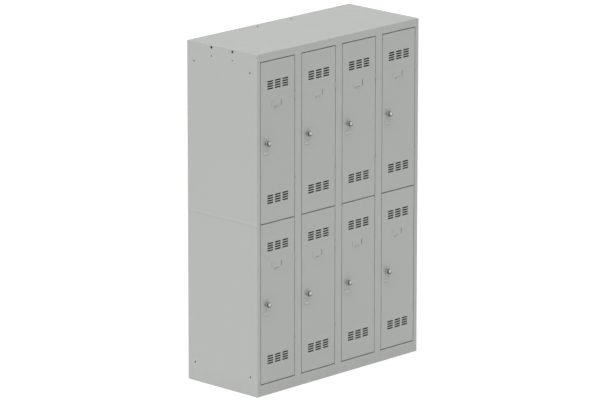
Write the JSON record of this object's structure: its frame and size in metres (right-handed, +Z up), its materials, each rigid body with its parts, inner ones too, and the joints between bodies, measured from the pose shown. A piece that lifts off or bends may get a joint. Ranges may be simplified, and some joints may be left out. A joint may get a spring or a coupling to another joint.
{
  "type": "locker cabinet",
  "caption": "Sheet-steel locker cabinet with two tiers of hinged, vented doors, each with a turn-knob lock and pull plate.",
  "frame": {"origin": "on the floor, at the centre of the box that holds the cabinet and its lock knobs", "axes": "+Z up; the doors face -Y; +X to the right as seen from the front"},
  "size_m": [1.2, 0.528, 1.8],
  "materials": {
    "cabinet_paint": "light grey powder coat, fine texture, satin",
    "door_paint": "light grey powder coat, fine texture, satin",
    "plate_paint": "light grey powder coat, satin",
    "hinge_paint": "light grey powder coat over steel",
    "zinc_steel": "bright zinc plate",
    "lock_chrome": "polished chrome plate on die-cast zinc"
  },
  "bodies": {
    "carcass": {"side_panel_left": "cabinet_paint", "side_panel_right": "cabinet_paint", "top_panel": "cabinet_paint", "floor_panel": "cabinet_paint", "back_panel": "cabinet_paint", "partition_panels": "cabinet_paint", "middle_shelves": "cabinet_paint", "front_posts": "cabinet_paint", "hinge_brackets": "hinge_paint", "hinge_pins": "zinc_steel", "coat_rails": "zinc_steel", "coat_hooks": "zinc_steel"},
    "door_1": {"door_panel_1": "door_paint", "door_stiffener_1": "door_paint", "door_hinges_1": "hinge_paint", "pull_plate_1": "plate_paint", "lock_housing_1": "lock_chrome"},
    "lock_1": {"lock_knob_1": "lock_chrome"},
    "door_2": {"door_panel_2": "door_paint", "door_stiffener_2": "door_paint", "door_hinges_2": "hinge_paint", "pull_plate_2": "plate_paint", "lock_housing_2": "lock_chrome"},
    "lock_2": {"lock_knob_2": "lock_chrome"},
    "door_3": {"door_panel_3": "door_paint", "door_stiffener_3": "door_paint", "door_hinges_3": "hinge_paint", "pull_plate_3": "plate_paint", "lock_housing_3": "lock_chrome"},
    "lock_3": {"lock_knob_3": "lock_chrome"},
    "door_4": {"door_panel_4": "door_paint", "door_stiffener_4": "door_paint", "door_hinges_4": "hinge_paint", "pull_plate_4": "plate_paint", "lock_housing_4": "lock_chrome"},
    "lock_4": {"lock_knob_4": "lock_chrome"},
    "door_5": {"door_panel_5": "door_paint", "door_stiffener_5": "door_paint", "door_hinges_5": "hinge_paint", "pull_plate_5": "plate_paint", "lock_housing_5": "lock_chrome"},
    "lock_5": {"lock_knob_5": "lock_chrome"},
    "door_6": {"door_panel_6": "door_paint", "door_stiffener_6": "door_paint", "door_hinges_6": "hinge_paint", "pull_plate_6": "plate_paint", "lock_housing_6": "lock_chrome"},
    "lock_6": {"lock_knob_6": "lock_chrome"},
    "door_7": {"door_panel_7": "door_paint", "door_stiffener_7": "door_paint", "door_hinges_7": "hinge_paint", "pull_plate_7": "plate_paint", "lock_housing_7": "lock_chrome"},
    "lock_7": {"lock_knob_7": "lock_chrome"},
    "door_8": {"door_panel_8": "door_paint", "door_stiffener_8": "door_paint", "door_hinges_8": "hinge_paint", "pull_plate_8": "plate_paint", "lock_housing_8": "lock_chrome"},
    "lock_8": {"lock_knob_8": "lock_chrome"}
  },
  "joints": [
    {"name": "door_1_hinge", "type": "hinge", "parent": "carcass", "child": "door_1", "pos_m": [-0.3257, -0.2355, 1.33343], "axis": [0, 0, 1], "range_deg": [0, 110]},
    {"name": "lock_1_turn", "type": "hinge", "parent": "door_1", "child": "lock_1", "pos_m": [-0.5365, -0.236, 1.33265], "axis": [0, 1, 0], "range_deg": [0, 90]},
    {"name": "door_2_hinge", "type": "hinge", "parent": "carcass", "child": "door_2", "pos_m": [-0.0257, -0.2355, 1.33343], "axis": [0, 0, 1], "range_deg": [0, 110]},
    {"name": "lock_2_turn", "type": "hinge", "parent": "door_2", "child": "lock_2", "pos_m": [-0.2365, -0.236, 1.33265], "axis": [0, 1, 0], "range_deg": [0, 90]},
    {"name": "door_3_hinge", "type": "hinge", "parent": "carcass", "child": "door_3", "pos_m": [0.2743, -0.2355, 1.33343], "axis": [0, 0, 1], "range_deg": [0, 110]},
    {"name": "lock_3_turn", "type": "hinge", "parent": "door_3", "child": "lock_3", "pos_m": [0.0635, -0.236, 1.33265], "axis": [0, 1, 0], "range_deg": [0, 90]},
    {"name": "door_4_hinge", "type": "hinge", "parent": "carcass", "child": "door_4", "pos_m": [0.5743, -0.2355, 1.33343], "axis": [0, 0, 1], "range_deg": [0, 110]},
    {"name": "lock_4_turn", "type": "hinge", "parent": "door_4", "child": "lock_4", "pos_m": [0.3635, -0.236, 1.33265], "axis": [0, 1, 0], "range_deg": [0, 90]},
    {"name": "door_5_hinge", "type": "hinge", "parent": "carcass", "child": "door_5", "pos_m": [-0.3257, -0.2355, 0.48568], "axis": [0, 0, 1], "range_deg": [0, 110]},
    {"name": "lock_5_turn", "type": "hinge", "parent": "door_5", "child": "lock_5", "pos_m": [-0.5365, -0.236, 0.4849], "axis": [0, 1, 0], "range_deg": [0, 90]},
    {"name": "door_6_hinge", "type": "hinge", "parent": "carcass", "child": "door_6", "pos_m": [-0.0257, -0.2355, 0.48568], "axis": [0, 0, 1], "range_deg": [0, 110]},
    {"name": "lock_6_turn", "type": "hinge", "parent": "door_6", "child": "lock_6", "pos_m": [-0.2365, -0.236, 0.4849], "axis": [0, 1, 0], "range_deg": [0, 90]},
    {"name": "door_7_hinge", "type": "hinge", "parent": "carcass", "child": "door_7", "pos_m": [0.2743, -0.2355, 0.48568], "axis": [0, 0, 1], "range_deg": [0, 110]},
    {"name": "lock_7_turn", "type": "hinge", "parent": "door_7", "child": "lock_7", "pos_m": [0.0635, -0.236, 0.4849], "axis": [0, 1, 0], "range_deg": [0, 90]},
    {"name": "door_8_hinge", "type": "hinge", "parent": "carcass", "child": "door_8", "pos_m": [0.5743, -0.2355, 0.48568], "axis": [0, 0, 1], "range_deg": [0, 110]},
    {"name": "lock_8_turn", "type": "hinge", "parent": "door_8", "child": "lock_8", "pos_m": [0.3635, -0.236, 0.4849], "axis": [0, 1, 0], "range_deg": [0, 90]}
  ]
}
